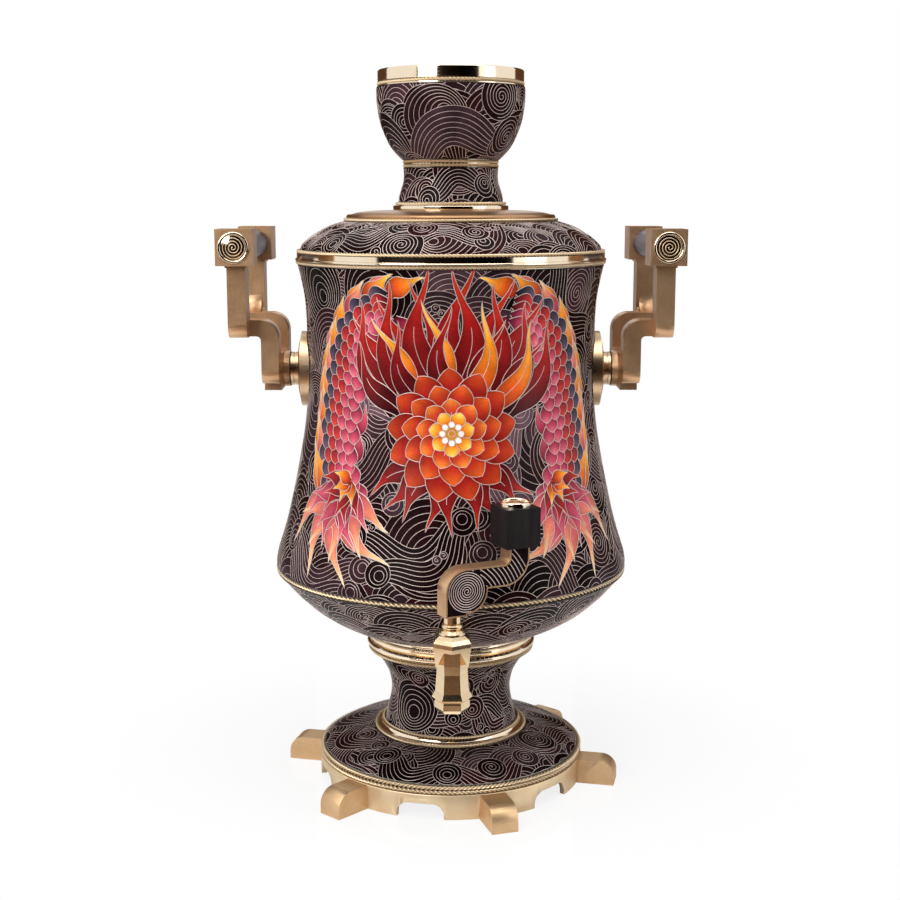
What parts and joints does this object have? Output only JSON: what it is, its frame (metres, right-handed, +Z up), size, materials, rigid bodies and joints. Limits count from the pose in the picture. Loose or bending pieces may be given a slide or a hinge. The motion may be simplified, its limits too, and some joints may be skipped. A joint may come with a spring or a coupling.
{
  "type": "samovar",
  "caption": "Footed charcoal samovar: flared enamelled tank round a fire tube, lift-off lid and open crown, two bracket handles with wooden grips, tap with S-shaped key.",
  "frame": {"origin": "centre of the stand's lower face, on the floor", "axes": "+Z up along the body's axis, -Y towards the tap, handles on +X and -X"},
  "size_m": [0.2988, 0.2736, 0.4866],
  "materials": {
    "enamel": "glossy fired enamel on copper with fine metal wires",
    "satin_brass": "bead-blasted",
    "polished_brass": "polished",
    "rope_wire": "twisted wire",
    "knob_wood": "black stained and oiled",
    "grip_wood": "dark stained and waxed",
    "steel": "dull",
    "fibre": "matte",
    "copper": "tinned copper tube, dull"
  },
  "bodies": {
    "tank": {"base_skirt": "satin_brass", "foot_1": "satin_brass", "foot_2": "satin_brass", "foot_3": "satin_brass", "foot_4": "satin_brass", "foot_5": "satin_brass", "foot_6": "satin_brass", "foot_screws": "steel", "base_disc": "enamel", "edge_ropes": "rope_wire", "base_collar": "polished_brass", "collar_ropes": "rope_wire", "pedestal_neck": "enamel", "foot_ring": "polished_brass", "foot_rope": "rope_wire", "tank_bowl": "enamel", "belt_rope": "rope_wire", "tank_shell": "enamel", "mouth_ring": "polished_brass", "mouth_rope": "rope_wire", "flue_tube": "copper", "grate": "steel", "left_boss": "satin_brass", "left_washer": "fibre", "left_yoke": "satin_brass", "left_blocks": "satin_brass", "left_grip": "grip_wood", "left_rod": "steel", "left_caps": "polished_brass", "left_bolt": "steel", "right_boss": "satin_brass", "right_washer": "fibre", "right_yoke": "satin_brass", "right_blocks": "satin_brass", "right_grip": "grip_wood", "right_rod": "steel", "right_caps": "polished_brass", "right_bolt": "steel", "tap_boss": "polished_brass", "tap_seal": "fibre", "tap_body": "polished_brass", "tap_gland": "polished_brass"},
    "lid": {"lid_band": "polished_brass", "lid_rope": "rope_wire", "lid_dome": "enamel", "lid_shoulder": "satin_brass", "shoulder_rope": "rope_wire"},
    "crown": {"crown_foot": "polished_brass", "neck_rope": "rope_wire", "crown_neck": "enamel", "waist_ring": "polished_brass", "waist_ropes": "rope_wire", "crown_bowl": "enamel", "crown_rope": "rope_wire", "crown_rim": "polished_brass"},
    "key": {"tap_plug": "polished_brass", "stem_bead": "polished_brass", "tap_key": "satin_brass", "tap_knob": "knob_wood", "tap_cap": "polished_brass"}
  },
  "joints": [
    {"name": "lid_lift", "type": "slide", "parent": "tank", "child": "lid", "axis": [0, 0, 1], "range_m": [0, 0.12]},
    {"name": "crown_lift", "type": "slide", "parent": "lid", "child": "crown", "axis": [0, 0, 1], "range_m": [0, 0.08]},
    {"name": "key_turn", "type": "hinge", "parent": "tank", "child": "key", "pos_m": [0, -0.139, 0.145], "axis": [0, 0, 1], "range_deg": [-90, 0]}
  ]
}
